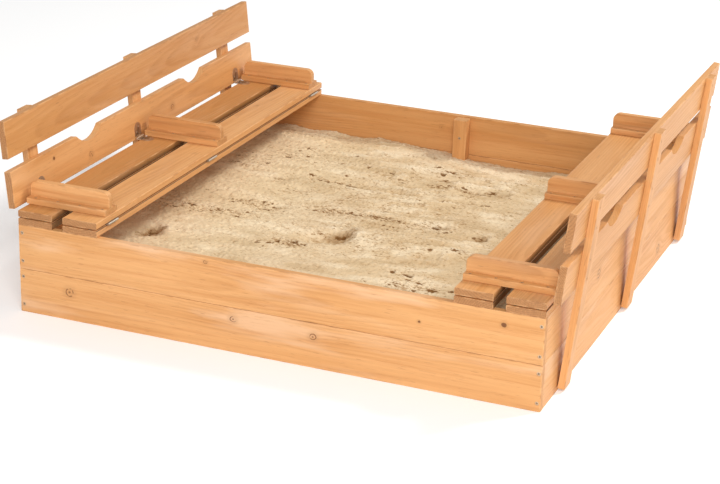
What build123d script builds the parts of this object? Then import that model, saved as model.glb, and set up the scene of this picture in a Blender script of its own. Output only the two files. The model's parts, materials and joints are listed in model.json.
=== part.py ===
from build123d import *
from math import cos, radians, sin
import os

# A square wooden sandbox whose two-part cover unfolds into two facing benches.
# Millimetres, +X along the front wall to the right, +Y from front to back, +Z up.
# The origin is on the ground under the middle of the whole object.

# Box
BOX_WIDTH = 1180.0
BOX_DEPTH = 1196.0
WALL_HEIGHT = 200.0
BOARD = 15.0
WALL_SEAM = 0.5
POST_WIDTH = 35.0
POST_DEPTH = 30.0
POST_TOP = {"front": 180.0, "back": 197.0}
FRONT = -BOX_DEPTH / 2
BACK = BOX_DEPTH / 2
SIDE = BOX_WIDTH / 2

# Bench planks: a fixed pair on the walls and a seat pair that folds over it
PLANK_WIDTH = 82.0
PLANK_GAP = 26.0
PLANK_LENGTH = 1190.0
LEAF_GAP = 2.8
PLANK_EDGE_RADIUS = 2.0
BENCH_OUTER = SIDE
BENCH_INNER = SIDE - 2 * PLANK_WIDTH - PLANK_GAP
FIXED_BOTTOM = WALL_HEIGHT
FIXED_TOP = FIXED_BOTTOM + BOARD
SEAT_BOTTOM = FIXED_TOP + LEAF_GAP
SEAT_TOP = SEAT_BOTTOM + BOARD
PLANK_FRONT = FRONT
PLANK_BACK = FRONT + PLANK_LENGTH
CLEAT_WIDTH = 36.0
CLEAT_DEPTH = 14.0
CLEAT_INSET = 20.0
CLEAT_Y = 20.0

# Fold hinge between the fixed and the seat planks, in the gap at their inner edges.
# Its axis sits a little above the middle of the gap, so the closed cover clears the walls.
FOLD_AXIS_X = BENCH_INNER - 3.0
FOLD_AXIS_Z = FIXED_TOP + LEAF_GAP / 2 + 0.2
FOLD_KNUCKLE_RADIUS = 2.6
FOLD_PIN_RADIUS = 1.2
FOLD_LEAF_WIDTH = 24.0
FOLD_LENGTH = 42.0
FOLD_CENTRES = (-532.0, -56.0, 536.0)

# Back hinge between the seat and the backrest, on their faces
BACK_AXIS_X = BENCH_OUTER + 6.7
BACK_KNUCKLE_RADIUS = 3.0
BACK_AXIS_Z = SEAT_TOP + BACK_KNUCKLE_RADIUS
BACK_PIN_RADIUS = 1.4
BACK_FACE_OFFSET = 5.0
BACK_TILT = 6.25
BACK_LENGTH = 30.0
BACK_LEAF_REACH = 35.0
BACK_CENTRES = (-478.0, -38.0, 494.0)

LEAF = 1.2
KNUCKLE_GAP = 0.3
RUNNING_CLEARANCE = 0.05

# Backrest: two boards on three battens whose tails lean on the wall
BACKREST_LENGTH = 1190.0
BACKREST_FRONT = FRONT + 6.0
LOWER_BOARD_BOTTOM = -4.0
BACKREST_GAP = 28.0
BATTEN_WIDTH = 40.0
BATTEN_TOP = LOWER_BOARD_BOTTOM + 2 * PLANK_WIDTH + BACKREST_GAP
BATTEN_BOTTOM = -226.0
BATTEN_CENTRES = (-471.0, 3.0, 477.0)
NOTCH_CENTRES = (-255.0, 271.0)
NOTCH_DEPTH = 23.5
NOTCH_RADIUS = 81.0
NOTCH_SHOULDER_RADIUS = 4.0

# Armrests: an upright on a flat base, laid across both seat planks
ARMREST_INNER = BENCH_INNER + 2.0
ARMREST_OUTER = BENCH_OUTER + 4.5
ARMREST_BASE_WIDTH = 50.0
ARMREST_BASE_HEIGHT = 14.0
ARMREST_UPRIGHT_HEIGHT = 34.0
ARMREST_CORNER_RADIUS = 16.0
ARMREST_CENTRES = {"front": -530.0, "middle": 6.0, "rear": 538.0}

# Liner and sand
LINER = 1.0
SAND_CLEARANCE = 0.5
SAND_EDGE_HEIGHT = 90.0
SAND_MOUND_HEIGHT = 112.0
SAND_MOUND_INSET = 170.0

# Countersunk screws: head radius, shank radius, length, how far the head is sunk below the face
LONG_SCREW = (4.2, 1.9, 40.0, 0.9)
BOARD_SCREW = (3.8, 1.7, 25.0, 0.7)
POST_SCREW = (3.8, 1.7, POST_DEPTH + 10.0, 0.7)
HINGE_SCREW = (2.6, 1.2, 12.0, 0.0)
SCREW_CLEARANCE = 0.1
RECESS_WIDTH = 0.28
RECESS_DEPTH = 0.9

EDGE_RADIUS = 1.2


def block(x, y, z):
    """A box between two corners given as (low, high) pairs."""
    size = [abs(high - low) for low, high in (x, y, z)]
    centre = [(low + high) / 2 for low, high in (x, y, z)]
    return Pos(*centre) * Box(*size)


def board(x, y, z, along, radius=EDGE_RADIUS):
    """A sawn board with its long edges eased."""
    solid = block(x, y, z)
    return fillet(solid.edges().filter_by(along), radius)


def on_side(shape, side):
    """The right-hand shape itself, or its mirror image on the left."""
    return shape if side > 0 else mirror(shape, Plane.YZ)


def screw_body(kind, grow=0.0):
    """A countersunk body along -Z, its head sunk below the XY plane."""
    head, shank, length, sunk = kind
    cone_height = head - shank
    rod_length = length - cone_height + grow
    body = Pos(0, 0, -cone_height / 2) * Cone(shank + grow, head + grow, cone_height)
    body += Pos(0, 0, -cone_height - rod_length / 2) * Cylinder(shank + grow, rod_length)
    return Pos(0, 0, -sunk) * body


def screw(kind, place):
    """A countersunk screw with a cross recess."""
    head, sunk = kind[0], kind[3]
    body = screw_body(kind)
    for turn in (0, 90):
        slot = Box(1.2 * head, RECESS_WIDTH * head, 2 * RECESS_DEPTH)
        body -= Pos(0, 0, -sunk) * Rot(0, 0, turn + 25) * slot
    return place * body


def screw_hole(kind, place):
    """The clearance hole for a screw, open to the face the head is seen from."""
    head, sunk = kind[0], kind[3]
    mouth = Pos(0, 0, (0.2 - sunk) / 2) * Cylinder(head + SCREW_CLEARANCE, 0.2 + sunk)
    return place * (screw_body(kind, SCREW_CLEARANCE) + mouth)


def drill(solid, kind, places):
    """The solid with a clearance hole for each screw."""
    for place in places:
        solid = solid - screw_hole(kind, place)
    return solid


def screws(kind, places):
    return [screw(kind, place) for place in places]


def facing(point, normal):
    """A place at the point whose +Z looks along the normal, where a screw head shows."""
    return Plane(origin=point, z_dir=normal).location


def write(name, *solids):
    flat = []
    for item in solids:
        flat.extend(item.solids())
    export_step(flat[0] if len(flat) == 1 else Compound(children=flat), f"parts/{name}.step")


# ---------------------------------------------------------------- walls


def wall_levels():
    """Name and height range of the two boards that make each wall."""
    half = WALL_HEIGHT / 2
    return {"lower": (0.0, half - WALL_SEAM / 2), "upper": (half + WALL_SEAM / 2, WALL_HEIGHT)}


def corner_screw_places(end):
    """Screws through the front (-1) or back (+1) wall into the ends of the side walls."""
    y = end * BOX_DEPTH / 2
    places = []
    for low, high in wall_levels().values():
        for z in (low + 18, high - 18):
            for side in (-1, 1):
                places.append(facing((side * (SIDE - BOARD / 2), y, z), (0, end, 0)))
    return places


def post_screw_places(end):
    """Screws through the middle post into each board of the front or back wall."""
    y = end * (BOX_DEPTH / 2 - BOARD - POST_DEPTH)
    levels = wall_levels().values()
    return [facing((0, y, (low + high) / 2), (0, -end, 0)) for low, high in levels]


def write_walls():
    ends = {"front": -1, "back": 1}
    sides = {"left": -1, "right": 1}
    for level, z in wall_levels().items():
        for name, end in ends.items():
            y = (end * (BOX_DEPTH / 2 - BOARD), end * BOX_DEPTH / 2)
            solid = board((-SIDE, SIDE), y, z, Axis.X)
            solid = drill(solid, LONG_SCREW, corner_screw_places(end))
            solid = drill(solid, POST_SCREW, post_screw_places(end))
            if level == "upper":
                solid = drill(solid, LONG_SCREW, fixed_screw_places())
            write(f"{name}_wall_{level}_board", solid)
        for name, side in sides.items():
            x = (side * (SIDE - BOARD), side * SIDE)
            solid = board(x, (FRONT + BOARD, BACK - BOARD), z, Axis.Y)
            for end in ends.values():
                solid = drill(solid, LONG_SCREW, corner_screw_places(end))
            write(f"{name}_wall_{level}_board", solid)
    for name, end in ends.items():
        inner = end * (BOX_DEPTH / 2 - BOARD)
        y = (inner - end * POST_DEPTH, inner)
        post = board((-POST_WIDTH / 2, POST_WIDTH / 2), y, (0, POST_TOP[name]), Axis.Z)
        write(f"{name}_wall_post", drill(post, POST_SCREW, post_screw_places(end)))


# ---------------------------------------------------------------- sand and liner


def write_filling():
    half_x = SIDE - BOARD
    half_y = BOX_DEPTH / 2 - BOARD
    liner = block((-half_x, half_x), (-half_y, half_y), (0, LINER))
    sand_x = half_x - SAND_CLEARANCE
    sand_y = half_y - SAND_CLEARANCE
    sand = block((-sand_x, sand_x), (-sand_y, sand_y), (LINER, SAND_EDGE_HEIGHT))
    foot = Plane.XY.offset(SAND_EDGE_HEIGHT) * Rectangle(2 * sand_x, 2 * sand_y)
    crown_x = 2 * (sand_x - SAND_MOUND_INSET)
    crown_y = 2 * (sand_y - SAND_MOUND_INSET)
    crown = Plane.XY.offset(SAND_MOUND_HEIGHT) * Rectangle(crown_x, crown_y)
    sand += loft([foot.face(), crown.face()], ruled=True)
    for end in (-1, 1):
        post_face = half_y - POST_DEPTH
        x = (-POST_WIDTH / 2 - SAND_CLEARANCE, POST_WIDTH / 2 + SAND_CLEARANCE)
        y = (end * (post_face - SAND_CLEARANCE), end * (half_y + 1))
        sand -= block(x, y, (-1, WALL_HEIGHT))
        liner -= block((-POST_WIDTH / 2, POST_WIDTH / 2), (end * post_face, end * (half_y + 1)), (-1, 2))
    write("ground_liner", liner)
    write("sand_fill", sand)


# ---------------------------------------------------------------- fixed bench planks


def plank_pairs():
    """Name and width range of the two planks of a bench."""
    outer = (BENCH_OUTER - PLANK_WIDTH, BENCH_OUTER)
    inner = (BENCH_INNER, BENCH_INNER + PLANK_WIDTH)
    return {"outer": outer, "inner": inner}


def fixed_screw_places():
    """Screws down through both ends of each fixed plank into the front and back walls."""
    places = []
    for low, high in plank_pairs().values():
        for x in (low + 18, high - 18):
            for side in (-1, 1):
                for y in (FRONT + BOARD / 2, BACK - BOARD / 2 - 1):
                    places.append(facing((side * x, y, FIXED_TOP), (0, 0, 1)))
    return places


def cleat_screw_places(side):
    """Screws down through the middle of each fixed plank into the cleat under it."""
    centres = [(low + high) / 2 for low, high in plank_pairs().values()]
    return [facing((side * x, CLEAT_Y, FIXED_TOP), (0, 0, 1)) for x in centres]


def write_fixed_planks(side, name):
    for plank, x in plank_pairs().items():
        x = (side * x[0], side * x[1])
        solid = board(x, (PLANK_FRONT, PLANK_BACK), (FIXED_BOTTOM, FIXED_TOP), Axis.Y, PLANK_EDGE_RADIUS)
        solid = drill(solid, LONG_SCREW, fixed_screw_places())
        solid = drill(solid, BOARD_SCREW, cleat_screw_places(side))
        solid = drill(solid, HINGE_SCREW, fold_screw_places(side, False))
        write(f"{name}_fixed_{plank}_plank", solid)


def bench_cleat(side):
    x = (side * (BENCH_INNER + CLEAT_INSET), side * (SIDE - BOARD))
    y = (CLEAT_Y - CLEAT_WIDTH / 2, CLEAT_Y + CLEAT_WIDTH / 2)
    cleat = board(x, y, (WALL_HEIGHT - CLEAT_DEPTH, WALL_HEIGHT), Axis.X)
    return drill(cleat, BOARD_SCREW, cleat_screw_places(side))


# ---------------------------------------------------------------- hinges


def knuckles(length, radius, moving):
    """Knuckles along Y about the origin: the middle one moves, the outer two don't."""
    third = length / 3
    if moving:
        return Rot(90, 0, 0) * Cylinder(radius, third - 2 * KNUCKLE_GAP)
    middle = Rot(90, 0, 0) * Cylinder(radius, third)
    return Pos(0, -third, 0) * middle + Pos(0, third, 0) * middle


def knuckle_tabs(length, reach, z, moving):
    """Tabs that join a leaf to its own knuckles only."""
    third = length / 3
    if moving:
        return block((0, reach), (-third / 2 + KNUCKLE_GAP, third / 2 - KNUCKLE_GAP), z)
    tab = block((0, reach), (-third / 2, third / 2), z)
    return Pos(0, -third, 0) * tab + Pos(0, third, 0) * tab


def bore(length, radius):
    return Rot(90, 0, 0) * Cylinder(radius, length + 2)


def fold_leaf(moving):
    """A plain leaf that reaches along +X from the axis, under or over the gap's middle."""
    z_low = SEAT_BOTTOM - LEAF - FOLD_AXIS_Z if moving else FIXED_TOP - FOLD_AXIS_Z
    z = (z_low, z_low + LEAF)
    start = BENCH_INNER - FOLD_AXIS_X
    plate = block((start, start + FOLD_LEAF_WIDTH), (-FOLD_LENGTH / 2, FOLD_LENGTH / 2), z)
    plate += knuckle_tabs(FOLD_LENGTH, start + 1, z, moving)
    plate += knuckles(FOLD_LENGTH, FOLD_KNUCKLE_RADIUS, moving)
    clearance = RUNNING_CLEARANCE if moving else 0.0
    return plate - bore(FOLD_LENGTH, FOLD_PIN_RADIUS + clearance)


def fold_screw_places(side, moving):
    """Two screws in each fold leaf, into the seat plank above or the fixed plank below."""
    x = BENCH_INNER + FOLD_LEAF_WIDTH - 9
    z = SEAT_BOTTOM - LEAF if moving else FIXED_TOP + LEAF
    normal = (0, 0, -1) if moving else (0, 0, 1)
    places = []
    for centre in FOLD_CENTRES:
        for y in (centre - 7, centre + 13):
            places.append(facing((side * x, y, z), normal))
    return places


def fold_leaves(side, moving):
    leaves = []
    for centre in FOLD_CENTRES:
        leaf = Pos(FOLD_AXIS_X, centre, FOLD_AXIS_Z) * fold_leaf(moving)
        leaves.append(drill(on_side(leaf, side), HINGE_SCREW, fold_screw_places(side, moving)))
    return leaves


def pins(side, x, z, radius, length, centres):
    pin = Rot(90, 0, 0) * Cylinder(radius, length)
    return [Pos(side * x, centre, z) * pin for centre in centres]


def tongue(reach, width, z):
    """A leaf with a round end, along +X from the axis."""
    half = width / 2
    outline = Pos(reach - half, 0) * Circle(half)
    start = BACK_KNUCKLE_RADIUS + 0.4
    outline += Pos((start + reach - half) / 2, 0) * Rectangle(reach - half - start, width)
    return Pos(0, 0, z) * extrude(outline, LEAF)


def back_leaf(moving):
    """The tongue leaf, along +X, under the axis by the seat's or the backrest's offset."""
    z_low = -BACK_FACE_OFFSET if moving else -BACK_KNUCKLE_RADIUS
    leaf = tongue(BACK_LEAF_REACH, BACK_LENGTH, z_low)
    tabs_z = (z_low, BACK_PIN_RADIUS - BACK_KNUCKLE_RADIUS)
    leaf += knuckle_tabs(BACK_LENGTH, BACK_KNUCKLE_RADIUS + 1, tabs_z, moving)
    leaf += knuckles(BACK_LENGTH, BACK_KNUCKLE_RADIUS, moving)
    clearance = RUNNING_CLEARANCE if moving else 0.0
    return leaf - bore(BACK_LENGTH, BACK_PIN_RADIUS + clearance)


def back_screw_local(z):
    """Two screws in each tongue leaf, in the leaf's own frame."""
    return [facing((13, -7, z), (0, 0, 1)), facing((25, 3, z), (0, 0, 1))]


def seat_tongue_place(side, centre):
    """From the leaf's own frame to the seat's top: the leaf reaches inwards."""
    turn = 180 if side > 0 else 0
    return Location((side * BACK_AXIS_X, centre, BACK_AXIS_Z), (0, 0, turn))


def seat_tongue_screws(side):
    z = LEAF - BACK_KNUCKLE_RADIUS
    places = []
    for centre in BACK_CENTRES:
        places += [seat_tongue_place(side, centre) * hole for hole in back_screw_local(z)]
    return places


def seat_tongues(side):
    leaves = [seat_tongue_place(side, centre) * back_leaf(False) for centre in BACK_CENTRES]
    return [drill(leaf, HINGE_SCREW, seat_tongue_screws(side)) for leaf in leaves]


# ---------------------------------------------------------------- seats


def armrest_screw_places(side, centre):
    """Screws down through the base's front edge into the planks, two in each plank."""
    y = centre - ARMREST_BASE_WIDTH / 2 + 8
    z = SEAT_TOP + ARMREST_BASE_HEIGHT
    places = []
    for low, high in plank_pairs().values():
        for x in (low + 14, high - 14):
            places.append(facing((side * x, y, z), (0, 0, 1)))
    return places


def upright_screw_places(side, centre):
    """Screws up through the base into the upright, put in before the base goes down."""
    middle = (ARMREST_INNER + ARMREST_OUTER) / 2
    return [facing((side * (middle + step), centre, SEAT_TOP), (0, 0, -1)) for step in (-60, 60)]


def armrest_upright(side, centre):
    half = BOARD / 2
    bottom = SEAT_TOP + ARMREST_BASE_HEIGHT
    z = (bottom, bottom + ARMREST_UPRIGHT_HEIGHT)
    solid = block((side * ARMREST_INNER, side * ARMREST_OUTER), (centre - half, centre + half), z)
    corners = solid.edges().filter_by(Axis.Y).group_by(Axis.Z)[-1]
    solid = fillet(corners, ARMREST_CORNER_RADIUS)
    top = solid.faces().sort_by(Axis.Y)
    solid = fillet(top[0].edges().group_by(Axis.Z)[-1] + top[-1].edges().group_by(Axis.Z)[-1], 1.0)
    return drill(solid, BOARD_SCREW, upright_screw_places(side, centre))


def armrest_base(side, centre):
    half = ARMREST_BASE_WIDTH / 2
    z = (SEAT_TOP, SEAT_TOP + ARMREST_BASE_HEIGHT)
    x = (side * ARMREST_INNER, side * ARMREST_OUTER)
    solid = board(x, (centre - half, centre + half), z, Axis.X, 2.0)
    solid = drill(solid, BOARD_SCREW, armrest_screw_places(side, centre))
    return drill(solid, BOARD_SCREW, upright_screw_places(side, centre))


def write_seat(side, name):
    for plank, x in plank_pairs().items():
        x = (side * x[0], side * x[1])
        solid = board(x, (PLANK_FRONT, PLANK_BACK), (SEAT_BOTTOM, SEAT_TOP), Axis.Y, PLANK_EDGE_RADIUS)
        for centre in ARMREST_CENTRES.values():
            solid = drill(solid, BOARD_SCREW, armrest_screw_places(side, centre))
        solid = drill(solid, HINGE_SCREW, fold_screw_places(side, True))
        solid = drill(solid, HINGE_SCREW, seat_tongue_screws(side))
        write(f"{name}_seat_{plank}_plank", solid)
    long_screws = []
    for centre in ARMREST_CENTRES.values():
        long_screws += screws(BOARD_SCREW, armrest_screw_places(side, centre))
        long_screws += screws(BOARD_SCREW, upright_screw_places(side, centre))
    for place, centre in ARMREST_CENTRES.items():
        write(f"{name}_armrest_upright_{place}", armrest_upright(side, centre))
    write(f"{name}_armrest_bases", *[armrest_base(side, centre) for centre in ARMREST_CENTRES.values()])
    write(f"{name}_armrest_screws", *long_screws)
    write(f"{name}_fold_hinge_seat_leaves", *fold_leaves(side, True))
    write(f"{name}_back_hinge_seat_leaves", *seat_tongues(side))
    pin_set = pins(side, BACK_AXIS_X, BACK_AXIS_Z, BACK_PIN_RADIUS, BACK_LENGTH, BACK_CENTRES)
    write(f"{name}_back_hinge_pins", *pin_set)
    small = screws(HINGE_SCREW, fold_screw_places(side, True) + seat_tongue_screws(side))
    write(f"{name}_seat_hinge_screws", *small)


# ---------------------------------------------------------------- backrests
# A backrest is modelled upright on the right: X is the depth behind the hinge axis,
# Z the height above it. It is then leaned outwards and moved to the axis.


def backrest_place(side):
    return Location((side * BACK_AXIS_X, 0, BACK_AXIS_Z), (0, side * BACK_TILT, 0))


def notch(centre):
    """A round finger notch in the lower board's top edge, with eased shoulders."""
    top = LOWER_BOARD_BOTTOM + PLANK_WIDTH
    rise = 10.0
    middle = top - NOTCH_DEPTH + NOTCH_RADIUS
    outline = Pos(0, middle) * Circle(NOTCH_RADIUS)
    outline += Pos(0, top + rise / 2) * Rectangle(3 * NOTCH_RADIUS, rise)
    shoulders = [corner for corner in outline.vertices() if abs(corner.Y - top) < 0.01]
    shoulders = [corner for corner in shoulders if abs(corner.X) < NOTCH_RADIUS]
    outline = fillet(shoulders, NOTCH_SHOULDER_RADIUS)
    cutter = extrude(Plane.YZ.offset(-5) * outline, 4 * BOARD)
    return Pos(0, centre, 0) * cutter


def batten_screw_places(centre):
    """Two screws through a batten into each backrest board, in the backrest's frame."""
    x = BACK_FACE_OFFSET + 2 * BOARD
    upper_bottom = LOWER_BOARD_BOTTOM + PLANK_WIDTH + BACKREST_GAP
    places = []
    for low in (LOWER_BOARD_BOTTOM, upper_bottom):
        for z in (low + 20, low + PLANK_WIDTH - 20):
            places.append(facing((x, centre - 5, z), (1, 0, 0)))
    return places


def back_tongue_place(centre):
    """From the leaf's own frame to the backrest's front face: the leaf reaches upwards."""
    return Location((0, centre, 0), (0, -90, 0))


def back_tongue_screws():
    z = LEAF - BACK_FACE_OFFSET
    places = []
    for centre in BACK_CENTRES:
        places += [back_tongue_place(centre) * hole for hole in back_screw_local(z)]
    return places


def backrest_solids():
    """Every piece of one backrest, in the backrest's frame."""
    x = (BACK_FACE_OFFSET, BACK_FACE_OFFSET + BOARD)
    y = (BACKREST_FRONT, BACKREST_FRONT + BACKREST_LENGTH)
    low = LOWER_BOARD_BOTTOM
    high = low + PLANK_WIDTH + BACKREST_GAP
    lower = board(x, y, (low, low + PLANK_WIDTH), Axis.Y)
    upper = board(x, y, (high, high + PLANK_WIDTH), Axis.Y)
    for centre in NOTCH_CENTRES:
        lower -= notch(centre)
    battens = []
    long_screws = []
    for centre in BATTEN_CENTRES:
        places = batten_screw_places(centre)
        lower = drill(lower, BOARD_SCREW, places)
        upper = drill(upper, BOARD_SCREW, places)
        half = BATTEN_WIDTH / 2
        span = (centre - half, centre + half)
        batten = board((x[1], x[1] + BOARD), span, (BATTEN_BOTTOM, BATTEN_TOP), Axis.Z)
        battens.append(drill(batten, BOARD_SCREW, places))
        long_screws += screws(BOARD_SCREW, places)
    lower = drill(lower, HINGE_SCREW, back_tongue_screws())
    leaves = [back_tongue_place(centre) * back_leaf(True) for centre in BACK_CENTRES]
    leaves = [drill(leaf, HINGE_SCREW, back_tongue_screws()) for leaf in leaves]
    return {
        "backrest_upper_board": [upper],
        "backrest_lower_board": [lower],
        "backrest_front_batten": [battens[0]],
        "backrest_middle_batten": [battens[1]],
        "backrest_rear_batten": [battens[2]],
        "backrest_batten_screws": long_screws,
        "back_hinge_back_leaves": leaves,
        "backrest_hinge_screws": screws(HINGE_SCREW, back_tongue_screws()),
    }


def write_backrests():
    place = backrest_place(1)
    for name, solids in backrest_solids().items():
        placed = [place * solid for solid in solids]
        write(f"right_{name}", *placed)
        write(f"left_{name}", *[mirror(solid, Plane.YZ) for solid in placed])


# ---------------------------------------------------------------- everything


def main():
    os.makedirs("parts", exist_ok=True)
    write_walls()
    write_filling()
    frame_screws = [place for end in (-1, 1) for place in corner_screw_places(end)]
    frame_screws += fixed_screw_places()
    post_screws = [place for end in (-1, 1) for place in post_screw_places(end)]
    cleat_screws = []
    frame_hinge_screws = []
    fixed_leaves = []
    fold_pins = []
    for side, name in ((-1, "left"), (1, "right")):
        write_fixed_planks(side, name)
        write_seat(side, name)
        cleat_screws += screws(BOARD_SCREW, cleat_screw_places(side))
        frame_hinge_screws += fold_screw_places(side, False)
        fixed_leaves += fold_leaves(side, False)
        fold_pins += pins(side, FOLD_AXIS_X, FOLD_AXIS_Z, FOLD_PIN_RADIUS, FOLD_LENGTH, FOLD_CENTRES)
    write_backrests()
    write("bench_cleats", bench_cleat(-1), bench_cleat(1))
    write("frame_screws", *screws(LONG_SCREW, frame_screws), *cleat_screws)
    write("post_screws", *screws(POST_SCREW, post_screws))
    write("fixed_plank_hinge_screws", *screws(HINGE_SCREW, frame_hinge_screws))
    write("fold_hinge_fixed_leaves", *fixed_leaves)
    write("fold_hinge_pins", *fold_pins)


main()
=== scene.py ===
import json
import math
import random

import bpy
import numpy as np
from mathutils import Matrix, Vector


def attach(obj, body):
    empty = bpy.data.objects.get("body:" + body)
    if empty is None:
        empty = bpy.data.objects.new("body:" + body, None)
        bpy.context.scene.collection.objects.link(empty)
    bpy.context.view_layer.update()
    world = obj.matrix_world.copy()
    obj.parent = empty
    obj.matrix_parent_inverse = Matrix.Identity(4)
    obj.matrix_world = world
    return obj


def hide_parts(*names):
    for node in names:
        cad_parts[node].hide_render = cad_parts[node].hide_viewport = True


# A wooden sandbox whose cover is unfolded into two benches, in a white studio.
# Metres, +X along the front wall to the right, +Y from front to back, +Z up.

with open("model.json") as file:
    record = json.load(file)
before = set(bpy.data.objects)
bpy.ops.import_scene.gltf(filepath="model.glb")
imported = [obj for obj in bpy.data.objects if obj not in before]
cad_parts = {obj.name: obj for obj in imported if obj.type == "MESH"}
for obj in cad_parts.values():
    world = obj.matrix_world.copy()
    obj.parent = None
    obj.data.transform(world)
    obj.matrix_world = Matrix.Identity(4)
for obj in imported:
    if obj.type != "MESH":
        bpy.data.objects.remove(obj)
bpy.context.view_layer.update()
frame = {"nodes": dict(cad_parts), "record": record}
nodes = frame["nodes"]

BACKREST_TILT = math.radians(6.25)
# From the middle of a fixed plank up to the middle of the seat plank above it
PLANK_STEP = 0.0178


# ------------------------------------------------------------------ shader helpers


class Tree:
    """A material's node tree. The methods take plain numbers or sockets, and return a socket."""

    def __init__(self, name):
        self.material = bpy.data.materials.new(name)
        self.material.use_nodes = True
        self.nodes = self.material.node_tree.nodes
        self.links = self.material.node_tree.links
        self.nodes.clear()
        self.shader = self.nodes.new("ShaderNodeBsdfPrincipled")
        output = self.nodes.new("ShaderNodeOutputMaterial")
        self.links.new(self.shader.outputs[0], output.inputs[0])

    def put(self, socket, value):
        if isinstance(value, bpy.types.NodeSocket):
            self.links.new(value, socket)
        elif isinstance(value, tuple) and len(value) == 3 and socket.type == "RGBA":
            socket.default_value = (*value, 1.0)
        else:
            socket.default_value = value

    def node(self, kind, **settings):
        made = self.nodes.new(kind)
        for key, value in settings.items():
            setattr(made, key, value)
        return made

    def math(self, operation, a, b=0.0, c=0.0, clamp=False):
        made = self.node("ShaderNodeMath", operation=operation, use_clamp=clamp)
        for socket, value in zip(made.inputs, (a, b, c)):
            self.put(socket, value)
        return made.outputs[0]

    def plus(self, a, b):
        return self.math("ADD", a, b)

    def minus(self, a, b):
        return self.math("SUBTRACT", a, b)

    def times(self, a, b):
        return self.math("MULTIPLY", a, b)

    def times_plus(self, a, b, c):
        return self.math("MULTIPLY_ADD", a, b, c)

    def largest(self, first, *others):
        for other in others:
            first = self.math("MAXIMUM", first, other)
        return first

    def absolute(self, value):
        return self.math("ABSOLUTE", value)

    def distance(self, a, b):
        return self.math("SQRT", self.times_plus(a, a, self.times(b, b)))

    def wobble(self, value, noise, amount):
        """A value pushed up and down by a noise that runs from 0 to 1."""
        return self.times_plus(self.minus(noise, 0.5), amount, value)

    def position(self):
        return self.node("ShaderNodeTexCoord").outputs["Object"]

    def split(self, vector):
        made = self.node("ShaderNodeSeparateXYZ")
        self.put(made.inputs[0], vector)
        return tuple(made.outputs)

    def vector(self, x, y, z):
        made = self.node("ShaderNodeCombineXYZ")
        for socket, value in zip(made.inputs, (x, y, z)):
            self.put(socket, value)
        return made.outputs[0]

    def attribute(self, name):
        return self.node("ShaderNodeAttribute", attribute_name=name).outputs["Fac"]

    def noise(self, vector, scale, detail=2.0, roughness=0.5):
        made = self.node("ShaderNodeTexNoise")
        self.put(made.inputs["Vector"], vector)
        self.put(made.inputs["Scale"], scale)
        self.put(made.inputs["Detail"], detail)
        self.put(made.inputs["Roughness"], roughness)
        return made.outputs[0]

    def span(self, value, low, high, to_low=0.0, to_high=1.0):
        """Smooth step from to_low to to_high, as the value goes from low to high."""
        made = self.node("ShaderNodeMapRange", interpolation_type="SMOOTHSTEP")
        for socket, part in zip(made.inputs, (value, low, high, to_low, to_high)):
            self.put(socket, part)
        return made.outputs[0]

    def mix(self, factor, a, b):
        made = self.node("ShaderNodeMix", data_type="RGBA")
        self.put(made.inputs[0], factor)
        self.put(made.inputs[6], a)
        self.put(made.inputs[7], b)
        return made.outputs[2]

    def tint(self, color, mask, share, other):
        """A colour with a share of another where the mask is 1."""
        return self.mix(self.times(mask, share), color, other)

    def bump(self, height, strength, distance):
        made = self.node("ShaderNodeBump")
        self.put(made.inputs["Strength"], strength)
        self.put(made.inputs["Distance"], distance)
        self.put(made.inputs["Height"], height)
        return made.outputs[0]

    def surface(self, settings):
        """Sets or wires the shader's inputs and gives the finished material."""
        for name, value in settings.items():
            self.put(self.shader.inputs[name], value)
        return self.material


# ------------------------------------------------------------------ wood

# Board axes: a along the grain, w across the face, t through the thickness
BOARD_AXES = {
    "front_face": "XZY",
    "flat_x": "XYZ",
    "flat_y": "YXZ",
    "side_face": "YZX",
    "upright": "ZYX",
    "post": "ZXY",
}

# Stain, from pale wood to late wood, what lies on it, and painted sheen and painted shade
PALE = (0.745, 0.390, 0.155)
MIDDLE = (0.615, 0.285, 0.090)
DEEP = (0.450, 0.205, 0.062)
RED = (0.540, 0.210, 0.056)
LATE = (0.330, 0.126, 0.034)
# Painted sheen: a pale tint that stands for a soft highlight
PAINTED_SHEEN = (0.800, 0.500, 0.290)
MARK = (0.200, 0.075, 0.024)
END_PALE = (0.440, 0.200, 0.074)
END_DARK = (0.150, 0.060, 0.020)
KNOT = (0.165, 0.058, 0.016)
WORN = (0.850, 0.500, 0.240)
RUBBED_DIRT = (0.260, 0.100, 0.034)
# Painted shade for the gap and the seam between planks
GAP_SHADE = (0.100, 0.042, 0.014)

# Noises of the grain: how fast each changes along a, w and t, its detail and its roughness
GRAIN = {
    "slow_sway": ((1.6, 2.5, 2.5), 1.5, 0.5),
    "quick_sway": ((7.0, 9.0, 9.0), 1.0, 0.5),
    "knot_edge": ((60, 60, 10), 2.0, 0.5),
    "knot_breaks": ((90, 90, 10), 1.0, 0.5),
    "broad": ((1.1, 30, 30), 4.0, 0.6),
    "patch": ((2.2, 14, 14), 2.0, 0.5),
    "streak": ((3.0, 120, 120), 3.0, 0.6),
    "fibre": ((14, 900, 900), 2.0, 0.6),
    "blotch": ((3.2, 9, 9), 2.0, 0.5),
    "fleck": ((34, 700, 700), 1.0, 0.5),
    "mark": ((20, 230, 230), 2.0, 0.5),
    # Patches of painted sheen
    "sheen": ((2.6, 17, 17), 3.0, 0.55),
    "saw": ((40, 900, 160), 3.0, 0.7),
    "wear": ((26, 60, 60), 3.0, 0.5),
}

# Growth rings: the pith's offset in board widths and its depth, its slope along the board, ring spacing
PITH_OFFSET = 0.8
PITH_DEPTH = (0.035, 0.085)
PITH_SLOPE_W = 0.02
PITH_SLOPE_T = 0.035
SLOW_SWAY = 0.030
QUICK_SWAY = 0.005
RING_SPACING = (0.0036, 0.0058)

# Width of a worn arris, and of the painted shade along the fold's seam on a plank's edge
ARRIS = (0.0008, 0.0034)
SEAM = (0.0052, 0.0064)
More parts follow.
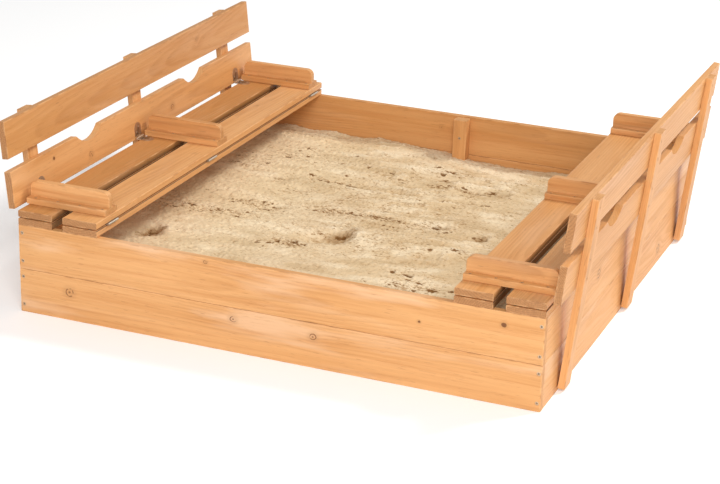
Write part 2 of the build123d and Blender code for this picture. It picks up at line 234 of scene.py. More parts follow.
# Painted shade in the gap between planks: depth below the seat plank's middle where it starts and is full
GAP_DEPTH = (-0.0055, 0.0060)

# Knots: along the grain and across from the board's centre, radius, darkness
KNOTS = {
    "front_wall_lower_board": (
        (-0.469, 0.015, 0.0080, 0.80),
        (-0.081, 0.025, 0.0062, 0.95),
        (0.100, 0.019, 0.0070, 0.90),
    ),
    "front_wall_upper_board": (
        (0.506, 0.022, 0.0043, 1.0),
        (0.329, -0.004, 0.0028, 1.0),
        (-0.145, 0.041, 0.0036, 0.8),
    ),
    "left_backrest_lower_board": (
        (-0.418, 0.020, 0.0035, 1.0),
        (-0.260, -0.016, 0.0065, 0.8),
        (0.140, -0.012, 0.0060, 0.8),
    ),
    "left_backrest_upper_board": ((0.300, 0.010, 0.0050, 0.6),),
    "right_fixed_inner_plank": ((0.210, 0.012, 0.0070, 0.6),),
    "right_seat_inner_plank": ((0.150, -0.018, 0.0045, 0.6),),
    "left_seat_inner_plank": ((-0.080, 0.012, 0.0050, 0.6), (0.330, -0.020, 0.0035, 0.6)),
    "right_wall_upper_board": ((-0.220, 0.010, 0.0090, 0.7),),
    "right_wall_lower_board": ((0.310, -0.015, 0.0100, 0.7), (-0.420, 0.022, 0.0060, 0.5)),
    "back_wall_upper_board": ((0.360, -0.020, 0.0060, 0.5), (-0.060, 0.012, 0.0040, 0.5)),
    "right_backrest_rear_batten": ((-0.110, 0.004, 0.0045, 0.7),),
}

# Stain of single boards, from 0 for pale to 1 and over for deep; the others are near a usual tone
TONES = {
    "left_seat_inner_plank": 0.15,
    "left_seat_outer_plank": 1.15,
    "left_backrest_upper_board": 0.85,
    "right_wall_lower_board": 0.25,
    "right_wall_upper_board": 0.15,
    "right_seat_outer_plank": 0.45,
    "front_wall_lower_board": 0.25,
    "front_wall_upper_board": 0.35,
    "back_wall_upper_board": 0.65,
    "back_wall_lower_board": 0.65,
}
USUAL_TONE = 0.45
ARMREST_TONE = 0.25
TONE_SPREAD = 0.1


class Board:
    """A board's material in its own axes, measured from its middle."""

    def __init__(self, name, kind, size, centre, tilt, rng):
        self.tree = Tree(name)
        self.size = size
        coordinates = self.tree.node("ShaderNodeTexCoord")
        position = self.turned(coordinates.outputs["Object"], tilt)
        normal = self.turned(coordinates.outputs["Normal"], tilt)
        order = BOARD_AXES[kind]
        places = dict(zip("XYZ", self.tree.split(position)))
        facings = dict(zip("XYZ", self.tree.split(normal)))
        self.a, self.w, self.t = [self.tree.minus(places[axis], mid) for axis, mid in zip(order, centre)]
        self.facing_x = facings["X"]
        self.end_face = self.tree.span(self.tree.absolute(facings[order[0]]), 0.6, 0.9)
        self.shift = [rng.uniform(-40, 40) for _ in range(3)]

    def turned(self, vector, tilt):
        if not tilt:
            return vector
        turn = self.tree.node("ShaderNodeVectorRotate", rotation_type="Y_AXIS")
        self.tree.put(turn.inputs["Vector"], vector)
        turn.inputs["Angle"].default_value = tilt
        return turn.outputs[0]

    def noise(self, name):
        """One of the grain's noises, each board having its own part of it."""
        scales, detail, roughness = GRAIN[name]
        scaled = zip((self.a, self.w, self.t), scales, self.shift)
        place = self.tree.vector(*[self.tree.times_plus(*row) for row in scaled])
        return self.tree.noise(place, 1.0, detail, roughness)


def pith_distance(board, rng):
    """Distance from a pith outside the board, which slopes and sways along it."""
    tree = board.tree
    pith_w = rng.uniform(-PITH_OFFSET, PITH_OFFSET) * board.size[1]
    pith_t = rng.choice((-1, 1)) * rng.uniform(*PITH_DEPTH)
    slope_w = rng.uniform(-PITH_SLOPE_W, PITH_SLOPE_W)
    slope_t = rng.uniform(-PITH_SLOPE_T, PITH_SLOPE_T)
    w_off = tree.plus(tree.times_plus(board.a, slope_w, -pith_w), board.w)
    t_off = tree.plus(tree.times_plus(board.a, slope_t, -pith_t), board.t)
    w_off = tree.wobble(w_off, board.noise("slow_sway"), SLOW_SWAY)
    t_off = tree.wobble(t_off, board.noise("quick_sway"), QUICK_SWAY)
    return tree.distance(w_off, t_off)


def add_knot(board, radius, knot):
    """Pushes the rings out round a knot, and gives them and the knot's mask.

    Darkness 1 makes a dead knot, filled in, and less makes a thin broken ring."""
    tree = board.tree
    knot_a, knot_w, size, darkness = knot
    along = tree.times(tree.minus(board.a, knot_a), 0.85)
    across = tree.minus(board.w, knot_w)
    far = tree.wobble(tree.distance(along, across), board.noise("knot_edge"), 0.9 * size)
    swell = tree.span(far, 0.0, 4.5 * size, 1.0, 0.0)
    radius = tree.times_plus(swell, 0.55 * size, radius)
    solid_to = 0.95 if darkness >= 1.0 else 0.22
    core = tree.span(far, (solid_to - 0.15) * size, (solid_to + 0.2) * size, 0.95, 0.10)
    core = tree.times(core, tree.span(far, 0.7 * size, size, 1.0, 0.0))
    inside = tree.span(far, 0.66 * size, 0.88 * size)
    rim = tree.times(inside, tree.span(far, 0.95 * size, 1.20 * size, 1.0, 0.0))
    rim = tree.times(rim, tree.span(board.noise("knot_breaks"), 0.40, 0.54))
    halo = tree.span(far, 0.8 * size, 2.6 * size, 0.20, 0.0)
    return radius, tree.times(tree.largest(core, rim, halo), darkness)


def grain_color(board, look, late, fibre, streak, fleck):
    """Stain, streaks, rings, fibres, small marks and painted sheen of a board's long faces."""
    tree = board.tree
    tone, contrast = look["tone"], look["contrast"]
    mark = tree.span(board.noise("mark"), 0.70, 0.76)
    # Painted sheen: pale patches that stand for a soft highlight
    sheen = tree.span(board.noise("sheen"), 0.50, 0.72)
    mottle = tree.times_plus(board.noise("blotch"), 0.35, tree.times(board.noise("broad"), 0.65))
    warm = tree.math("ADD", tree.span(mottle, 0.30, 0.68), tone - 0.5, clamp=True)
    color = tree.mix(warm, PALE, MIDDLE)
    color = tree.mix(1.2 * max(0.0, tone - 0.6), color, DEEP)
    color = tree.tint(color, tree.span(streak, 0.45, 0.70), 0.55 * contrast, RED)
    banded = tree.times(late, tree.span(board.noise("patch"), 0.36, 0.66, 0.04, 0.42))
    color = tree.tint(color, banded, contrast, LATE)
    color = tree.tint(color, tree.span(fibre, 0.5, 0.72), 0.20 * contrast, LATE)
    color = tree.tint(color, tree.span(fibre, 0.5, 0.30), 0.14, PALE)
    color = tree.tint(color, sheen, look["sheen"], PAINTED_SHEEN)
    color = tree.tint(color, fleck, 0.35, LATE)
    return tree.tint(color, mark, 0.55 * contrast, MARK)


def end_grain(board, color, late, stain_and_shade):
    """End faces, stained darker between the saw's marks, and darker still on planks and backrest boards as
    painted shade.
    """
    tree = board.tree
    sawn = tree.span(board.noise("saw"), 0.35, 0.75, 0.0, 0.60)
    end_color = tree.mix(tree.times_plus(late, 0.25, sawn), END_PALE, END_DARK)
    return tree.tint(color, board.end_face, stain_and_shade, end_color)


def paint_gap_shade(board, color, gap_side, seam_side):
    """Painted shade on the side that faces the other plank across the gap, deeper further down."""
    tree = board.tree
    facing = tree.span(tree.times(board.facing_x, gap_side), 0.1, 0.5)
    below = tree.minus(PLANK_STEP if seam_side > 0 else 0.0, board.t)
    # Painted shade, deeper further down the plank's side
    dirt_and_gap_shade = tree.times(facing, tree.span(below, *GAP_DEPTH, 0.10, 0.78))
    return tree.mix(dirt_and_gap_shade, color, GAP_SHADE)


def worn_arrises(board, color):
    """Arrises worn pale in some places, with dirt rubbed into them in others."""
    tree = board.tree
    near = []
    for value, length in zip((board.a, board.w, board.t), board.size):
        inward = tree.minus(length / 2, tree.absolute(value))
        near.append(tree.span(inward, *ARRIS, 1.0, 0.0))
    near_a, near_w, near_t = near
    arris = tree.largest(tree.times(near_w, near_t), tree.times(near_a, near_w), tree.times(near_a, near_t))
    wear = board.noise("wear")
    worn = tree.times(arris, tree.span(wear, 0.42, 0.62))
    dirty = tree.times(arris, tree.span(wear, 0.50, 0.36))
    color = tree.tint(color, worn, 0.30, WORN)
    return tree.tint(color, dirty, 0.30, RUBBED_DIRT)


def seam_line(board, color, seam_side):
    """Painted shade along the seam between a seat plank and the fixed plank under it."""
    tree = board.tree
    # Painted shade along the seam
    seam = tree.span(tree.times(board.t, seam_side), *SEAM)
    sideways = tree.span(tree.absolute(board.facing_x), 0.1, 0.5, 0.0, 0.85)
    return tree.mix(tree.times(seam, sideways), color, GAP_SHADE)


def wood(name, kind, size, centre, tilt, seed, look):
    """Stained softwood, with size and centre along a, w and t."""
    rng = random.Random(seed)
    board = Board(name, kind, size, centre, tilt, rng)
    tree = board.tree
    radius = pith_distance(board, rng)
    knots = []
    for knot in look["knots"]:
        radius, mask = add_knot(board, radius, knot)
        knots.append(mask)
    rings = tree.math("FRACT", tree.math("DIVIDE", radius, rng.uniform(*RING_SPACING)))
    late = tree.times(tree.span(rings, 0.15, 0.82), tree.span(rings, 0.84, 1.0, 1.0, 0.0))
    fibre = board.noise("fibre")
    streak = board.noise("streak")
    fleck = tree.span(board.noise("fleck"), 0.66, 0.74)

    color = grain_color(board, look, late, fibre, streak, fleck)
    color = end_grain(board, color, late, look["end_stain_and_shade"])
    if look["gap_side"]:
        color = paint_gap_shade(board, color, look["gap_side"], look["seam_side"])
    color = worn_arrises(board, color)
    for mask in knots:
        color = tree.mix(mask, color, KNOT)
    if look["seam_side"]:
        color = seam_line(board, color, look["seam_side"])

    rough = tree.times_plus(tree.plus(late, board.end_face), 0.08, tree.times_plus(fibre, 0.16, 0.36))
    relief = tree.times_plus(late, 0.35, tree.times(fibre, 0.5))
    relief = tree.times_plus(streak, 0.5, relief)
    relief = tree.times_plus(fleck, -0.35, relief)
    return tree.surface({
        "Base Color": color,
        "Roughness": rough,
        "Specular IOR Level": 0.35,
        "Normal": tree.bump(relief, 0.35, 0.0006),
    })


def board_kind(node):
    """How a wooden node's grain runs, and the tilt that stands it upright."""
    if "backrest" in node:
        tilt = -BACKREST_TILT if node.startswith("right") else BACKREST_TILT
        return ("upright" if node.endswith("batten") else "side_face"), tilt
    if node.endswith("post"):
        return "post", 0.0
    if "armrest_base" in node or "cleat" in node:
        return "flat_x", 0.0
    if "armrest_upright" in node or node.startswith(("front", "back")):
        return "front_face", 0.0
    if "wall" in node:
        return "side_face", 0.0
    return "flat_y", 0.0


def board_look(node, index):
    """How one board is stained, and how much painted sheen and painted shade it takes. gap_side is the sign
    of the X direction in which a plank faces the other one of its pair, and seam_side the sign of the Z
    direction of the fold's seam."""
    armrest = "armrest" in node
    plank = "plank" in node
    usual = ARMREST_TONE if armrest else USUAL_TONE
    drift = random.Random(index * 7 + 1).uniform(-TONE_SPREAD, TONE_SPREAD)
    # Planks and backrest boards get darker end faces: stain and painted shade
    stained_and_shaded_ends = plank or "backrest" in node and "batten" not in node
    outward = 1 if node.startswith("right") else -1
    return {
        "tone": TONES.get(node, usual + drift),
        "knots": KNOTS.get(node, ()),
        "contrast": 1.0 if armrest else 0.6,
        # Painted sheen, strongest on the front and right walls
        "sheen": 0.75 if node.startswith(("front_wall", "right_wall")) else 0.25,
        "end_stain_and_shade": 0.85 if stained_and_shaded_ends else 0.25,
        "gap_side": (outward if "inner" in node else -outward) if plank else 0,
        "seam_side": (1 if "fixed" in node else -1) if plank else 0,
    }


def turned_box(node, tilt):
    """Lowest and highest corner of a node in axes turned by a tilt, so that they run along the board."""
    points = np.array([vertex.co[:] for vertex in nodes[node].data.vertices])
    turned = points.copy()
    turned[:, 0] = points[:, 0] * math.cos(tilt) + points[:, 2] * math.sin(tilt)
    turned[:, 2] = points[:, 2] * math.cos(tilt) - points[:, 0] * math.sin(tilt)
    return turned.min(axis=0), turned.max(axis=0)


def paint(obj, material):
    obj.data.materials.clear()
    obj.data.materials.append(material)


def paint_wood(slots):
    for index, (node, obj) in enumerate(sorted(nodes.items())):
        if slots[node] != "cedar":
            continue
        kind, tilt = board_kind(node)
        low, high = turned_box(node, tilt)
        order = ["XYZ".index(letter) for letter in BOARD_AXES[kind]]
        size = [high[i] - low[i] for i in order]
        centre = [(high[i] + low[i]) / 2 for i in order]
        look = board_look(node, index)
        paint(obj, wood(f"wood_{node}", kind, size, centre, tilt, index * 13 + 5, look))


# ------------------------------------------------------------------ metal

# Base colour, rubbed colour, roughness
METALS = {
    "bronze": ((0.060, 0.036, 0.024), (0.560, 0.440, 0.320), 0.34),
    "nickel": ((0.380, 0.340, 0.290), (0.750, 0.700, 0.620), 0.34),
    "dull_nickel": ((0.210, 0.175, 0.135), (0.620, 0.560, 0.480), 0.36),
    "brown_screw": ((0.430, 0.300, 0.190), (0.680, 0.520, 0.370), 0.45),
}
METAL_SHADE = 0.62


def metal(name, base, bright, roughness):
    """Plated steel with a patchy finish, rubbed brighter where it sticks out."""
    tree = Tree(name)
    position = tree.position()
    patchy = tree.noise(position, 420.0, 4.0, 0.65)
    fine = tree.span(tree.noise(position, 2200.0, 2.0), 0.6, 0.75)
    pointed = tree.node("ShaderNodeNewGeometry").outputs["Pointiness"]
    rubbed = tree.largest(tree.span(pointed, 0.50, 0.58), tree.times(fine, 0.4))
    shaded = tuple(METAL_SHADE * part for part in base)
    color = tree.mix(tree.span(patchy, 0.35, 0.70), base, shaded)
    return tree.surface({
        "Base Color": tree.mix(rubbed, color, bright),
        "Metallic": 1.0,
        "Roughness": tree.times_plus(patchy, 0.25, roughness),
        "Normal": tree.bump(patchy, 0.15, 0.0003),
    })


def paint_metal(slots):
    metals = {name: metal(name, *finish) for name, finish in METALS.items()}
    for node, obj in nodes.items():
        if slots[node] == "hinge_metal":
            leaf = "bronze" if "back_hinge" in node else "dull_nickel"
            paint(obj, metals["nickel" if "pins" in node else leaf])
        if slots[node] == "screw_metal":
            paint(obj, metals["nickel" if "hinge" in node else "brown_screw"])


# ------------------------------------------------------------------ sand

SAND_LEVEL = 0.0975
SAND_LOWEST = 0.070
SAND_HIGHEST = 0.125
# Just above the liner, so that the two don't share a face
SAND_UNDERSIDE = 0.0012
SAND_CELL = 0.0022
# Pits stay this far from the middle at most
PIT_LIMIT_X = 0.56
PIT_LIMIT_Y = 0.57
# Sand lower than its surroundings within this distance counts as sunk
SUNK_REACH = 0.012

# Soft waves and sharp ripples: lattice cells along x and y, height
WAVES = ((3, 3, 0.0065), (5, 12, 0.0050), (8, 24, 0.0034))
RIPPLES = ((8, 30, 0.0042), (15, 52, 0.0024), (30, 100, 0.0012))

# Broad scoops in the sand: x, y, length, width, depth, turn in degrees
SCOOPS = (
    (-0.087, -0.122, 0.085, 0.042, 0.024, 25),
    (-0.487, -0.261, 0.070, 0.038, 0.024, 35),
    (-0.150, -0.130, 0.120, 0.030, 0.006, 5),
    (-0.380, 0.190, 0.090, 0.030, 0.007, 0),
    (-0.300, 0.020, 0.070, 0.022, 0.007, 8),
    (0.100, 0.060, 0.060, 0.022, 0.008, -5),
    (0.218, 0.015, 0.050, 0.030, 0.012, 10),
    (0.020, 0.380, 0.050, 0.020, 0.008, 0),
    (-0.120, 0.250, 0.120, 0.024, 0.006, 0),
    (0.120, 0.330, 0.110, 0.022, 0.008, 0),
    (0.310, 0.400, 0.040, 0.022, 0.009, 0),
    (-0.130, -0.390, 0.110, 0.040, 0.007, 4),
    (0.180, -0.330, 0.130, 0.035, 0.007, -6),
    (-0.330, -0.420, 0.130, 0.030, 0.005, 6),
    (0.000, 0.130, 0.160, 0.028, 0.005, -4),
)

# Rows of small pits: middle x, y, spread along x, spread along y, how many, half length from and to
PIT_ROWS = (
    (-0.190, 0.245, 0.060, 0.008, 16, 0.003, 0.012),
    (0.085, 0.322, 0.075, 0.009, 26, 0.003, 0.012),
    (-0.020, 0.052, 0.150, 0.013, 34, 0.002, 0.008),
    (0.090, 0.020, 0.080, 0.016, 14, 0.003, 0.010),
    (-0.330, 0.035, 0.070, 0.014, 18, 0.002, 0.009),
    (-0.390, -0.060, 0.110, 0.024, 26, 0.002, 0.010),
    (-0.141, -0.190, 0.036, 0.020, 26, 0.003, 0.011),
    (0.150, -0.140, 0.120, 0.030, 14, 0.002, 0.006),
    (0.220, -0.340, 0.050, 0.045, 26, 0.002, 0.010),
    (0.190, -0.480, 0.120, 0.018, 30, 0.002, 0.011),
    (-0.050, -0.450, 0.180, 0.030, 26, 0.002, 0.006),
    (-0.350, -0.440, 0.100, 0.030, 12, 0.002, 0.006),
    (0.260, -0.110, 0.050, 0.025, 14, 0.003, 0.008),
    (0.130, 0.440, 0.150, 0.016, 20, 0.003, 0.013),
    (0.180, 0.215, 0.110, 0.020, 14, 0.003, 0.009),
    (-0.330, 0.400, 0.110, 0.045, 22, 0.003, 0.010),
    (-0.440, 0.300, 0.060, 0.060, 18, 0.003, 0.010),
    (0.000, -0.040, 0.260, 0.150, 60, 0.0015, 0.004),
    (0.000, 0.150, 0.300, 0.280, 90, 0.0015, 0.004),
)

# Single deep pits: x, y, half length, half width
DEEP_PITS = (
    (0.240, 0.018, 0.018, 0.010),
    (0.030, 0.383, 0.014, 0.007),
    (0.115, 0.062, 0.015, 0.008),
    (-0.305, 0.016, 0.013, 0.007),
    (-0.185, 0.250, 0.016, 0.007),
    (0.300, 0.405, 0.016, 0.008),
    (-0.052, -0.088, 0.014, 0.006),
    (-0.462, -0.226, 0.014, 0.007),
    (-0.135, -0.182, 0.010, 0.006),
    (0.225, -0.470, 0.012, 0.007),
    (0.310, -0.455, 0.009, 0.006),
    (0.200, -0.395, 0.008, 0.005),
    (-0.350, 0.385, 0.010, 0.006),
    (0.110, 0.455, 0.011, 0.006),
)

# Dry sand, with painted light and shade of ripples, painted light by the left bench, a painted highlight on
# crests, painted shade in scoops, hollows and pits and round them, painted shadows of crumbs, and grains
SAND_BROAD = ((0.715, 0.552, 0.355), (0.670, 0.500, 0.300))
SAND_RIPPLE_LIGHT = (0.840, 0.700, 0.495)
SAND_RIPPLE_SHADE = (0.520, 0.360, 0.190)
SAND_BENCH_LIGHT = (0.890, 0.730, 0.470)
SAND_CREST_HIGHLIGHT = (0.880, 0.750, 0.560)
SAND_SCOOP_SHADE = (0.330, 0.190, 0.080)
SAND_HOLLOW_SHADE = (0.390, 0.230, 0.100)
SAND_DEEP_SHADE = (0.210, 0.100, 0.030)
SAND_HALO_SHADE = (0.380, 0.215, 0.090)
SAND_CRUMB_SHADOW = (0.185, 0.082, 0.020)
SAND_PIT_SHADE = (0.185, 0.080, 0.020)
GRAIN_DARK = (0.300, 0.170, 0.080)
GRAIN_PALE = (0.880, 0.770, 0.600)


def lattice_noise(rng, shape, cells_x, cells_y):
    """Smooth noise from -1 to 1 on a grid: random values on a lattice, joined by smoothstep."""
    values = rng.uniform(-1, 1, (cells_y + 2, cells_x + 2))
    ys = np.linspace(0, cells_y, shape[0], endpoint=False)
    xs = np.linspace(0, cells_x, shape[1], endpoint=False)
    yi = ys.astype(int)
    xi = xs.astype(int)
    fy = (ys - yi)[:, None]
    fx = (xs - xi)[None, :]
    fy = fy * fy * fy * (fy * (fy * 6 - 15) + 10)
    fx = fx * fx * fx * (fx * (fx * 6 - 15) + 10)
    low = values[yi][:, xi] * (1 - fx) + values[yi][:, xi + 1] * fx
    high = values[yi + 1][:, xi] * (1 - fx) + values[yi + 1][:, xi + 1] * fx
    return low * (1 - fy) + high * fy


def blur(field, sigma):
    """Gaussian blur with mirrored edges, sigma in grid cells."""
    tall = np.concatenate([field, field[::-1]], axis=0)
    wide = np.concatenate([tall, tall[:, ::-1]], axis=1)
    fy = np.fft.fftfreq(wide.shape[0])[:, None]
    fx = np.fft.rfftfreq(wide.shape[1])[None, :]
    soft = np.exp(-2 * (math.pi * sigma) ** 2 * (fx * fx + fy * fy))
    return np.fft.irfft2(np.fft.rfft2(wide) * soft, wide.shape)[: field.shape[0], : field.shape[1]]


def sand_waves(rng, x, y):
    """Height of the sand with waves and ripples only, heaped a little at the back on the left."""
    height = np.full(x.shape, SAND_LEVEL)
    for cells_x, cells_y, size in WAVES:
        height += size * lattice_noise(rng, x.shape, cells_x, cells_y)
    back = np.clip((y - 0.25) / 0.33, 0, 1)
    height += back * (0.008 / (1 + np.exp((x + 0.11) / 0.03)) - 0.005)
    calm = 0.25 + 0.75 * np.clip(0.5 + lattice_noise(rng, x.shape, 4, 7), 0, 1)
    for cells_x, cells_y, size in RIPPLES:
        layer = lattice_noise(rng, x.shape, cells_x, cells_y)
        height += calm * size * (1 - 2 * np.abs(layer))
    return height


def ragged(rng, shape, coarse, fine):
    """Small shifts that make the edges of pits uneven."""
    return coarse * lattice_noise(rng, shape, 120, 120) + fine * lattice_noise(rng, shape, 230, 230)


def dig_scoop(fields, x, y, scoop):
    """A long hollow, deepest near one end, with a lip beyond it and painted shade towards that end."""
    middle_x, middle_y, length, width, depth, turn = scoop
    cosine, sine = math.cos(math.radians(turn)), math.sin(math.radians(turn))
    u = ((x - middle_x) * cosine + (y - middle_y) * sine) / length
    v = ((y - middle_y) * cosine - (x - middle_x) * sine) / width
    bowl = np.exp(-(np.abs(u) ** 2.4 + np.abs(v) ** 2.4) * 1.6)
    lip = np.exp(-((u - 0.97) ** 2) * 16 - (v * 0.9) ** 2)
    fields["height"] += 0.45 * depth * lip - depth * bowl * (0.75 + 0.55 * np.clip(u, -1, 1))
    # Painted shade towards the scoop's deep end
    dark_end = np.exp(-((u - 0.55) ** 2) * 4.0 - (v - 0.35) ** 2 * 2.5)
    fields["crumbly_and_shaded"] = np.maximum(fields["crumbly_and_shaded"], dark_end * min(0.8, depth / 0.014))
    fields["scoop_shade"] = np.maximum(fields["scoop_shade"], dark_end * min(1.0, depth / 0.018))


def scatter_pits(rng, fields, x, y):
    """The deep pits and the pits of every row, as x, y, half length, half width and depth."""
    pits = [(px, py, length, width, 0.42 * length) for px, py, length, width in DEEP_PITS]
    for px, py, spread_x, spread_y, count, least, most in PIT_ROWS:
        # Painted shade along each row of pits
        near = np.exp(-0.5 * (((x - px) / (1.1 * spread_x)) ** 2 + ((y - py) / (1.3 * spread_y)) ** 2))
        density = 0.0009 * count / (spread_x * spread_y) ** 0.5 * 1.6
        fields["crumbly_and_shaded"] = np.maximum(fields["crumbly_and_shaded"], near * min(1.0, density))
        for _ in range(count):
            cx = px + rng.normal() * spread_x
            cy = py + rng.normal() * spread_y
            length = least + (most - least) * rng.uniform() ** 2.2
            width = length * rng.uniform(0.40, 0.75)
            if abs(cx) < PIT_LIMIT_X and abs(cy) < PIT_LIMIT_Y:
                pits.append((cx, cy, length, width, length * rng.uniform(0.30, 0.50)))
    return pits


def dig_pit(fields, x, y, shift_x, shift_y, pit):
    """A ragged bowl with crumbs thrown out in front of it, and painted shade in the bowl and round it."""
    cx, cy, length, width, depth = pit
    reach = length * 2.6 + 0.010
    columns = slice(*np.searchsorted(x[0], (cx - reach, cx + reach)))
    rows = slice(*np.searchsorted(y[:, 0], (cy - reach, cy + reach)))
    window = (rows, columns)
    loose = min(1.0, length / 0.008)
    u = (x[window] + loose * shift_x[window] - cx) / length
    v = (y[window] + loose * shift_y[window] - cy) / width
    far = u * u + v * v
    bowl = np.exp(-(far**2) * 0.9)
    crumbs = np.exp(-((u + 0.2) ** 2 * 0.5 + (v + 1.5) ** 2) * 1.4)
    fields["height"][window] += -depth * bowl + 0.35 * depth * crumbs
    # Painted shade in the pit's bowl
    dark = bowl * min(1.0, 0.35 + length / 0.009)
    fields["pit"][window] = np.maximum(fields["pit"][window], dark)
    # Painted shade round the pit
    halo = np.exp(-0.5 * far / 2.2) * min(0.8, length / 0.010)
    fields["crumbly_and_shaded"][window] = np.maximum(fields["crumbly_and_shaded"][window], halo)


def sand_fields(x, y, cell):
    """Height of the sand over a grid, in metres, how sunk and pitted each point is, where painted shade
    lies round pits and crumbs and the sand is rougher, and where painted shade lies in scoops.
    """
    rng = np.random.default_rng(20)
    shape = x.shape
    fields = {"height": sand_waves(rng, x, y)}
    for name in ("sunk", "pit", "crumbly_and_shaded", "scoop_shade"):
        fields[name] = np.zeros(shape)
    shift_x = ragged(rng, shape, 0.0042, 0.0030)
    shift_y = ragged(rng, shape, 0.0030, 0.0022)
    for scoop in SCOOPS:
        dig_scoop(fields, x, y, scoop)
    for pit in scatter_pits(rng, fields, x, y):
        dig_pit(fields, x, y, shift_x, shift_y, pit)
    height = fields["height"]
    height += 0.0010 * lattice_noise(rng, shape, 130, 130)
    height += (0.0007 + 0.0016 * fields["crumbly_and_shaded"]) * lattice_noise(rng, shape, 250, 250)
    clods = np.clip(lattice_noise(rng, shape, 170, 190) - 0.66, 0, 1)
    height += 0.010 * clods * np.clip(lattice_noise(rng, shape, 9, 16) + 0.25, 0, 1)
    # How far each point lies below its surroundings, for painted shade in hollows and a painted highlight
    # on crests
    fields["sunk"] = blur(height, SUNK_REACH / cell) - height
    return fields


def sand_mesh(x, y, fields):
    """A closed block of sand: the top grid, a skirt round its rim and a flat underside."""
    height = np.clip(fields["height"], SAND_LOWEST, SAND_HIGHEST)
    top = np.stack([x, y, height], axis=-1).reshape(-1, 3)
    index = np.arange(x.size).reshape(x.shape)
    corners = [index[:-1, :-1], index[:-1, 1:], index[1:, 1:], index[1:, :-1]]
    quads = np.stack(corners, axis=-1).reshape(-1, 4)
    rim = np.concatenate([index[0, :], index[1:, -1], index[-1, -2::-1], index[-2:0:-1, 0]])
    base = top[rim].copy()
    base[:, 2] = SAND_UNDERSIDE
    points = np.concatenate([top, base])
    lower = len(top) + np.arange(len(rim))
    skirt = np.stack([rim, lower, np.roll(lower, -1), np.roll(rim, -1)], axis=-1)
    sides = skirt.tolist() + [lower[::-1].tolist()]
    mesh = bpy.data.meshes.new("sand")
    mesh.from_pydata(points.tolist(), [], quads.tolist() + sides)
    mesh.update()
    mesh.polygons.foreach_set("use_smooth", [True] * len(quads) + [False] * len(sides))
    for name in ("sunk", "pit", "crumbly_and_shaded", "scoop_shade"):
        layer = mesh.attributes.new(name, "FLOAT", "POINT")
        layer.data.foreach_set("value", np.concatenate([fields[name].ravel(), np.zeros(len(base))]))
    return mesh


def sand_material():
    tree = Tree("dry_sand")
    position = tree.position()
    stretch = tree.node("ShaderNodeVectorMath", operation="MULTIPLY")
    tree.put(stretch.inputs[0], position)
    stretch.inputs[1].default_value = (0.45, 1.0, 1.0)
    drawn = stretch.outputs[0]
    broad = tree.noise(position, 5.0, 3.0)
    band = tree.noise(drawn, 17.0, 3.0, 0.5)
    patch = tree.noise(drawn, 60.0, 4.0, 0.6)
    crumb = tree.noise(drawn, 260.0, 2.0, 0.6)
    fine = tree.noise(position, 420.0, 3.0, 0.7)
    grains = tree.noise(position, 1000.0, 2.0, 0.7)
    scoop_shade = tree.wobble(tree.attribute("scoop_shade"), patch, 0.9)
    sunk = tree.wobble(tree.wobble(tree.attribute("sunk"), patch, 0.0018), fine, 0.0010)
    loose = tree.times_plus(patch, 0.40, tree.times(crumb, 0.60))
    crumb_shade = tree.times_plus(tree.attribute("crumbly_and_shaded"), 0.17, loose)
    pitted = tree.wobble(tree.attribute("pit"), fine, 0.9)
    color = tree.mix(tree.span(broad, 0.35, 0.65), *SAND_BROAD)
    # What each colour follows, where it starts and is full, its share, the colour
    layers = (
        # Painted light and shade of ripples, in soft bands
        (band, 0.50, 0.66, 0.65, SAND_RIPPLE_LIGHT),
        (band, 0.48, 0.34, 0.55, SAND_RIPPLE_SHADE),
        # Painted light by the left bench, lifting its shade
        (tree.split(position)[0], -0.10, -0.42, 0.45, SAND_BENCH_LIGHT),
        # Painted shade at the deep end of scoops
        (scoop_shade, 0.15, 0.85, 0.72, SAND_SCOOP_SHADE),
        # Painted shade in hollows and a painted highlight on crests
        (sunk, 0.0008, 0.0042, 0.62, SAND_HOLLOW_SHADE),
        (sunk, 0.0042, 0.0072, 0.80, SAND_DEEP_SHADE),
        (sunk, -0.0008, -0.0040, 0.45, SAND_CREST_HIGHLIGHT),
        # Painted shade round pits and scoops, and painted shadows of crumbs
        (crumb_shade, 0.57, 0.68, 0.60, SAND_HALO_SHADE),
        (crumb_shade, 0.672, 0.730, 0.85, SAND_CRUMB_SHADOW),
        # Painted shade in pits
        (pitted, 0.20, 0.70, 0.92, SAND_PIT_SHADE),
        (grains, 0.64, 0.76, 0.30, GRAIN_DARK),
        (grains, 0.40, 0.28, 0.30, GRAIN_PALE),
    )
    for value, start, full, share, layer_color in layers:
        color = tree.mix(tree.span(value, start, full, 0.0, share), color, layer_color)
    relief = tree.times_plus(crumb, -0.8, tree.times_plus(grains, 0.5, fine))
    return tree.surface({
        "Base Color": color,
        "Roughness": 0.95,
        "Specular IOR Level": 0.1,
        "Normal": tree.bump(relief, 0.50, 0.0013),
    })


def add_sand():
    _, far_corner = turned_box("sand_fill", 0.0)
    half_x, half_y = float(far_corner[0]), float(far_corner[1])
    cell = SAND_CELL
    xs = np.linspace(-half_x, half_x, int(2 * half_x / cell))
    ys = np.linspace(-half_y, half_y, int(2 * half_y / cell))
    x, y = np.meshgrid(xs, ys)
    mesh = sand_mesh(x, y, sand_fields(x, y, cell))
    sand = bpy.data.objects.new("sand", mesh)
    bpy.context.scene.collection.objects.link(sand)
    mesh.materials.append(sand_material())
    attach(sand, "frame")
    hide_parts("sand_fill")


# ------------------------------------------------------------------ liner


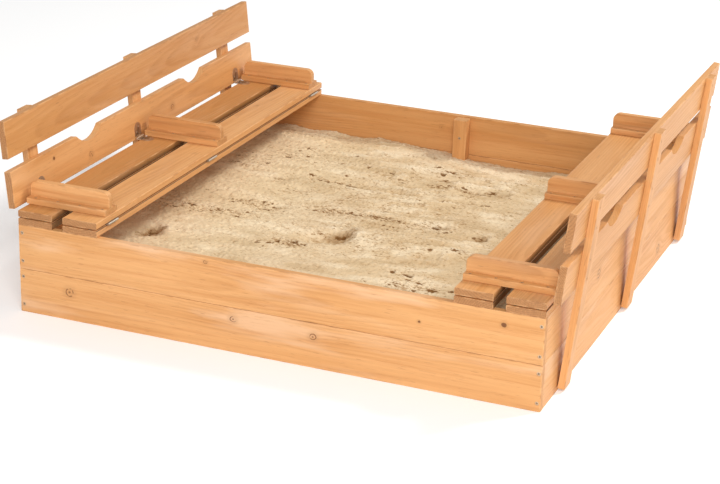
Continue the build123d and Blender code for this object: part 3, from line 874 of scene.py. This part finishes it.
def paint_liner():
    tree = Tree("liner_cloth")
    position = tree.position()
    weave = tree.noise(position, 700.0, 2.0)
    dirt_and_gap_shade = tree.noise(position, 18.0, 4.0)
    color = tree.mix(weave, (0.030, 0.034, 0.040), (0.075, 0.080, 0.090))
    color = tree.mix(tree.span(dirt_and_gap_shade, 0.5, 0.8, 0.0, 0.5), color, (0.300, 0.240, 0.170))
    normal = tree.bump(weave, 0.4, 0.0003)
    cloth = tree.surface({"Base Color": color, "Roughness": 0.85, "Normal": normal})
    paint(nodes["ground_liner"], cloth)


# ------------------------------------------------------------------ stage, lights, camera

WHITE = (1.0, 1.0, 1.0)
FLOOR_HALF = 90.0
LIGHT_AIM = Vector((0.0, 0.0, 0.1))
# Name, place, size, power, colour
LIGHTS = (
    ("key", (3.2, 2.6, 4.6), 1.1, 200.0, (1.0, 0.985, 0.96)),
    ("front", (1.9, -4.9, 3.3), 3.0, 228.0, (1.0, 0.985, 0.98)),
)
WORLD_STRENGTH = 0.48

# The camera looks over the front wall's right half: its place, heading left of +Y, angle down and roll
CAMERA_PLACE = Vector((1.5922, -4.0752, 1.7135))
CAMERA_HEADING = math.radians(21.85)
CAMERA_DOWN = math.radians(20.76)
CAMERA_ROLL = math.radians(1.65)
CAMERA_LENS = 100.816
CAMERA_SENSOR = 36.0


def add_floor():
    mesh = bpy.data.meshes.new("floor")
    far = FLOOR_HALF
    mesh.from_pydata([(-far, -far, 0), (far, -far, 0), (far, far, 0), (-far, far, 0)], [], [(0, 1, 2, 3)])
    floor = bpy.data.objects.new("floor", mesh)
    bpy.context.scene.collection.objects.link(floor)
    mesh.materials.append(Tree("floor_white").surface({
        "Base Color": (0.95, 0.95, 0.95),
        "Roughness": 0.9,
        "Specular IOR Level": 0.0,
        "Emission Color": WHITE,
        "Emission Strength": 0.15,
    }))


def add_light(name, place, size, power, color):
    data = bpy.data.lights.new(name, "AREA")
    data.shape = "SQUARE"
    data.size = size
    data.energy = power
    data.color = color
    light = bpy.data.objects.new(name, data)
    light.location = place
    light.rotation_euler = (LIGHT_AIM - Vector(place)).to_track_quat("-Z", "Y").to_euler()
    bpy.context.scene.collection.objects.link(light)


def add_studio_light():
    world = bpy.data.worlds.new("studio")
    world.use_nodes = True
    background = world.node_tree.nodes["Background"]
    background.inputs[0].default_value = (*WHITE, 1.0)
    background.inputs[1].default_value = WORLD_STRENGTH
    bpy.context.scene.world = world
    bpy.context.scene.view_settings.view_transform = "Standard"
    for light in LIGHTS:
        add_light(*light)


def add_camera():
    data = bpy.data.cameras.new("camera")
    data.sensor_fit = "HORIZONTAL"
    data.sensor_width = CAMERA_SENSOR
    data.lens = CAMERA_LENS
    data.clip_end = 200.0
    camera = bpy.data.objects.new("camera", data)
    heading = Matrix.Rotation(CAMERA_HEADING, 4, "Z")
    pitch = Matrix.Rotation(math.pi / 2 - CAMERA_DOWN, 4, "X")
    roll = Matrix.Rotation(CAMERA_ROLL, 4, "Z")
    camera.matrix_world = Matrix.Translation(CAMERA_PLACE) @ heading @ pitch @ roll
    bpy.context.scene.collection.objects.link(camera)
    bpy.context.scene.camera = camera


material_slots = {part["node"]: part["material_slot"] for part in frame["record"]["subparts"]}
paint_wood(material_slots)
paint_metal(material_slots)
paint_liner()
add_sand()
add_floor()
add_studio_light()
add_camera()
